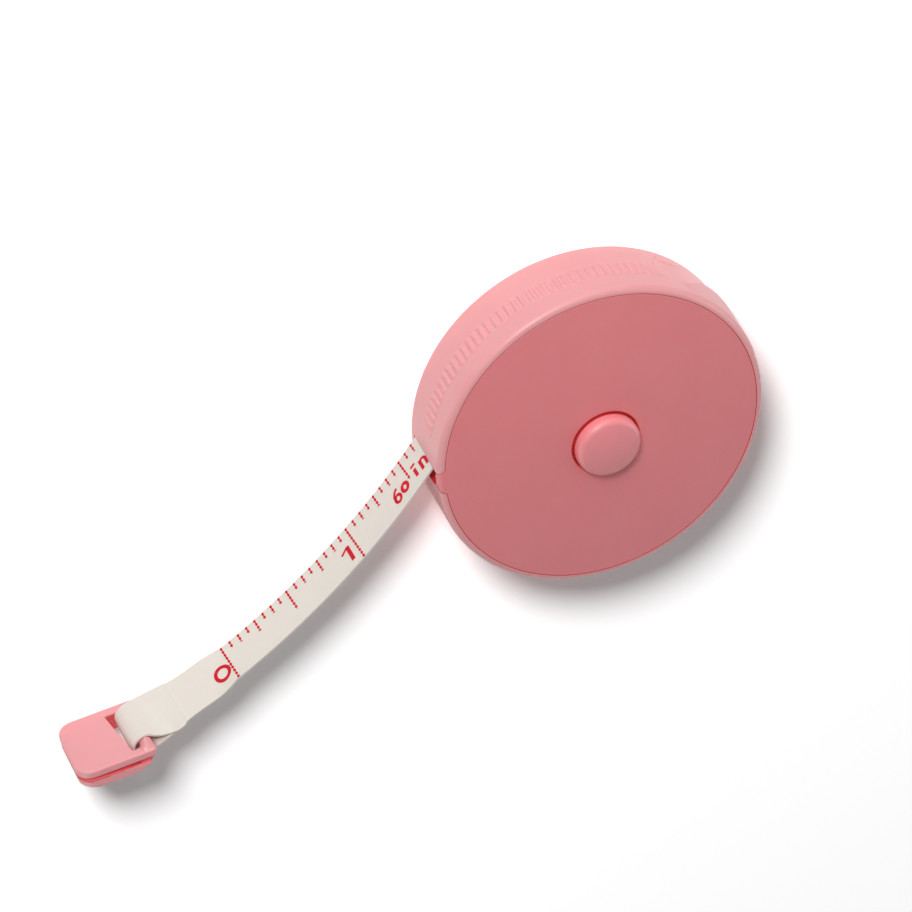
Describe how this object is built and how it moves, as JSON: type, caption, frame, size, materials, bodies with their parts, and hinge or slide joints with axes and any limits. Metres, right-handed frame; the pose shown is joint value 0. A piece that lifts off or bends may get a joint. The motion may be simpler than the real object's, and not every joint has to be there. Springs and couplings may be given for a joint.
{
  "type": "retractable tape measure",
  "caption": "Round pocket-size retractable cloth tape measure with a centre push button that releases the spool brake, and a moulded pull tab on the tape's end.",
  "frame": {"origin": "on the rear face, where the spool's axis meets it; the case lies on that face", "axes": "+Z out through the push button, square to the faces of the case; +X away from the tape's free end, so that the tape runs out towards -X and the tab is at its far end"},
  "size_m": [0.1045, 0.0673, 0.0164],
  "materials": {
    "case_pink": "moulded, satin",
    "button_pink": "moulded, soft gloss",
    "tab_pink": "moulded, satin",
    "coated_cloth": "fibreglass cloth with a matt coating, printed in red",
    "acetal_white": "moulded, waxy",
    "spring_steel": "bright rolled",
    "pad_rubber": "matt",
    "washer_film": "smooth film"
  },
  "bodies": {
    "case": {"rear_shell": "case_pink", "front_cover": "case_pink", "button_spring": "spring_steel", "power_spring": "spring_steel", "thrust_washer": "washer_film"},
    "button": {"push_button": "button_pink", "brake_plate": "acetal_white", "brake_pad_1": "pad_rubber", "brake_pad_2": "pad_rubber", "brake_pad_3": "pad_rubber"},
    "spool": {"spool_drum": "acetal_white", "spool_flange": "acetal_white", "spring_cover": "acetal_white", "spring_pin": "spring_steel", "tape_anchor_pin": "acetal_white", "tape_roll": "coated_cloth"},
    "tape": {"tape_blade": "coated_cloth"},
    "pull_tab": {"end_tab_top": "tab_pink", "end_tab_base": "tab_pink"}
  },
  "joints": [
    {"name": "button_press", "type": "slide", "parent": "case", "child": "button", "axis": [0, 0, -1], "range_m": [0, 0.0012], "stiffness_N_per_m": 400, "springref_m": -0.002, "deforming": ["button_spring"]},
    {"name": "tape_pull", "type": "hinge", "parent": "case", "child": "tape", "pos_m": [-0.11719, 0.0631, 0.0063], "axis": [0, 0, -1], "range_deg": [-3.3, 5.6]},
    {"name": "spool_spin", "type": "hinge", "parent": "case", "child": "spool", "pos_m": [0, 0, 0], "axis": [0, 0, 1], "range_deg": [-20, 32]},
    {"name": "tab_swivel", "type": "hinge", "parent": "tape", "child": "pull_tab", "pos_m": [-0.06882, -0.03791, 0.0063], "axis": [0, 0, 1], "range_deg": [-90, 90]}
  ],
  "couplings": [
    {"joint": "spool_spin", "follows": "tape_pull", "ratio": 5.399}
  ]
}
